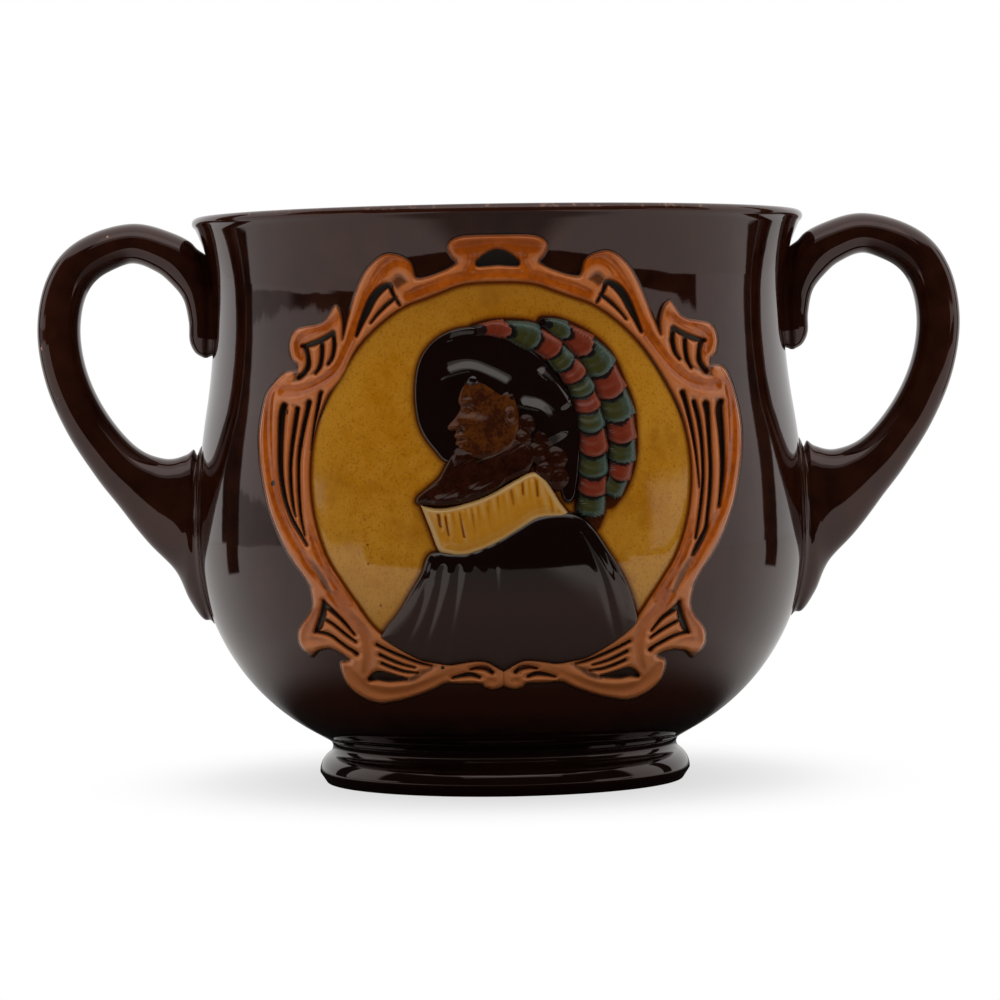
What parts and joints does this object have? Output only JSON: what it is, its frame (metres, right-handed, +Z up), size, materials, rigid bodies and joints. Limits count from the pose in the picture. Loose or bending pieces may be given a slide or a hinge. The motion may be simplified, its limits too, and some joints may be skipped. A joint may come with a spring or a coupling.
{
  "type": "loving cup",
  "caption": "Two-handled loving cup in dark brown glazed earthenware with a slip-coloured profile bust in an orange strapwork frame on its front.",
  "frame": {"origin": "centre of the foot's underside, on the cup's axis, where it meets the table", "axes": "+Z up along the cup's axis, +X towards the right-hand handle as seen from the front, -Y towards the medallion"},
  "size_m": [0.2452, 0.1653, 0.15],
  "materials": {
    "brown_glaze": "glossy treacle-brown glaze",
    "orange_slip": "glossy orange slip, dark in the hollows",
    "ochre_slip": "glossy speckled ochre slip",
    "black_slip": "glossy brown-black slip",
    "red_slip": "glossy brick-red slip",
    "green_slip": "glossy bottle-green slip",
    "tan_slip": "glossy brown slip",
    "umber_slip": "glossy dark umber slip",
    "cream_slip": "glossy cream slip, brown in the flutes"
  },
  "bodies": {
    "root": {"bowl": "brown_glaze", "foot_ring": "brown_glaze", "left_handle": "brown_glaze", "right_handle": "brown_glaze", "portrait_field": "ochre_slip", "frame_crest": "orange_slip", "left_upper_scroll": "orange_slip", "left_upper_ear": "orange_slip", "left_side_strap": "orange_slip", "left_reeds": "orange_slip", "left_field_border": "orange_slip", "left_lower_ear": "orange_slip", "left_lower_scroll": "orange_slip", "right_upper_scroll": "orange_slip", "right_upper_ear": "orange_slip", "right_side_strap": "orange_slip", "right_reeds": "orange_slip", "right_field_border": "orange_slip", "right_lower_ear": "orange_slip", "right_lower_scroll": "orange_slip", "cap": "black_slip", "red_tufts": "red_slip", "green_tufts": "green_slip", "face": "tan_slip", "hair": "umber_slip", "beard": "umber_slip", "collar": "cream_slip", "cloak": "black_slip"}
  },
  "joints": []
}
